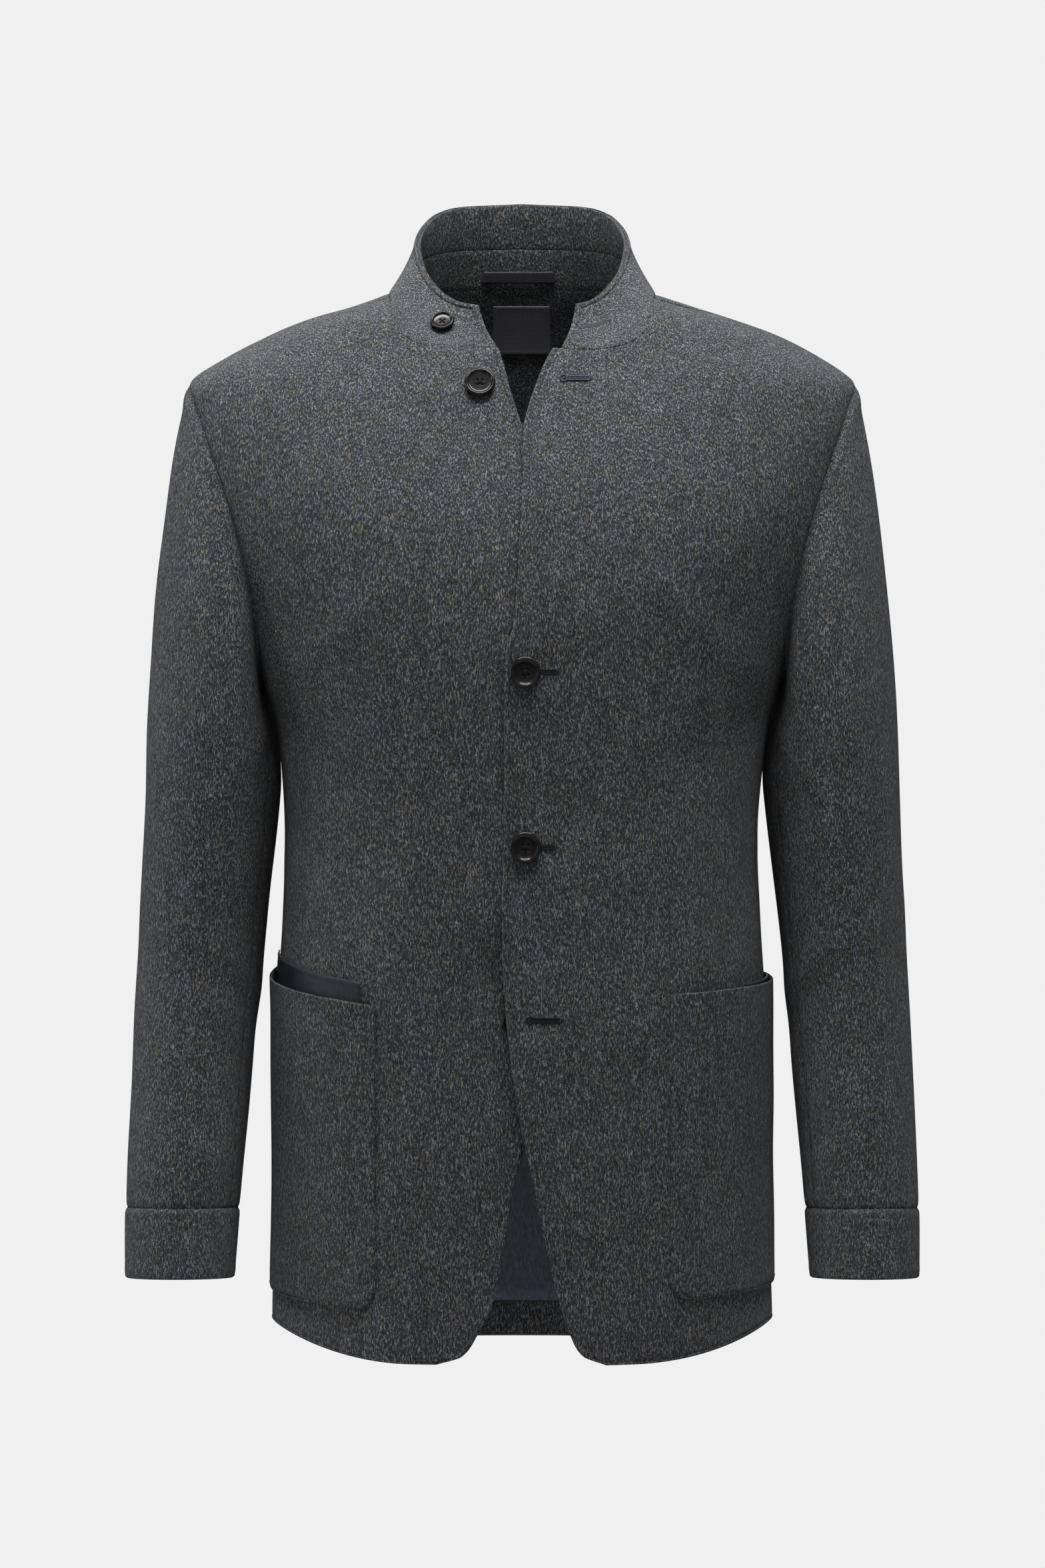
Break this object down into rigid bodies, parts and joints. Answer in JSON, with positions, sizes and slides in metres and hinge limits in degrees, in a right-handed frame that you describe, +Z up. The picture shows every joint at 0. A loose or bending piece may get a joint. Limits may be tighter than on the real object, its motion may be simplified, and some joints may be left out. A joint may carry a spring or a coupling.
{
  "type": "jacket",
  "caption": "mao jacket in dark wool, filled out and empty: stand collar open in a V, left front lapped over right, buttons, slanted patch pockets, sleeves with cuff bands",
  "frame": {"origin": "centre of the neck hole at the height of the high points of the shoulders, where the jacket is held", "axes": "+X the wearer's left, -Y the front of the jacket, +Z up along the body"},
  "size_m": [0.5436, 0.2564, 0.801],
  "materials": {
    "wool": "brushed melange wool with a short soft nap",
    "satin": "smooth satin lining with a low sheen",
    "ribbon": "matt woven ribbon, ribbed on the loop",
    "horn": "polished dark horn"
  },
  "bodies": {
    "root": {"front_left": "wool", "front_right": "wool", "back": "wool", "sleeve_upper_left": "wool", "sleeve_under_left": "wool", "sleeve_upper_right": "wool", "sleeve_under_right": "wool", "cuff_left": "wool", "cuff_right": "wool", "collar": "wool", "collar_facing": "wool", "collar_band": "wool", "neck_facing": "wool", "hem_facing": "wool", "pocket_left": "wool", "pocket_right": "wool", "back_lining": "satin", "pocket_strip_left": "satin", "pocket_strip_right": "satin", "hanger_loop": "ribbon", "label": "ribbon", "button_collar": "horn", "button_top": "horn", "button_chest": "horn", "button_waist": "horn", "button_lower": "horn"}
  },
  "joints": []
}
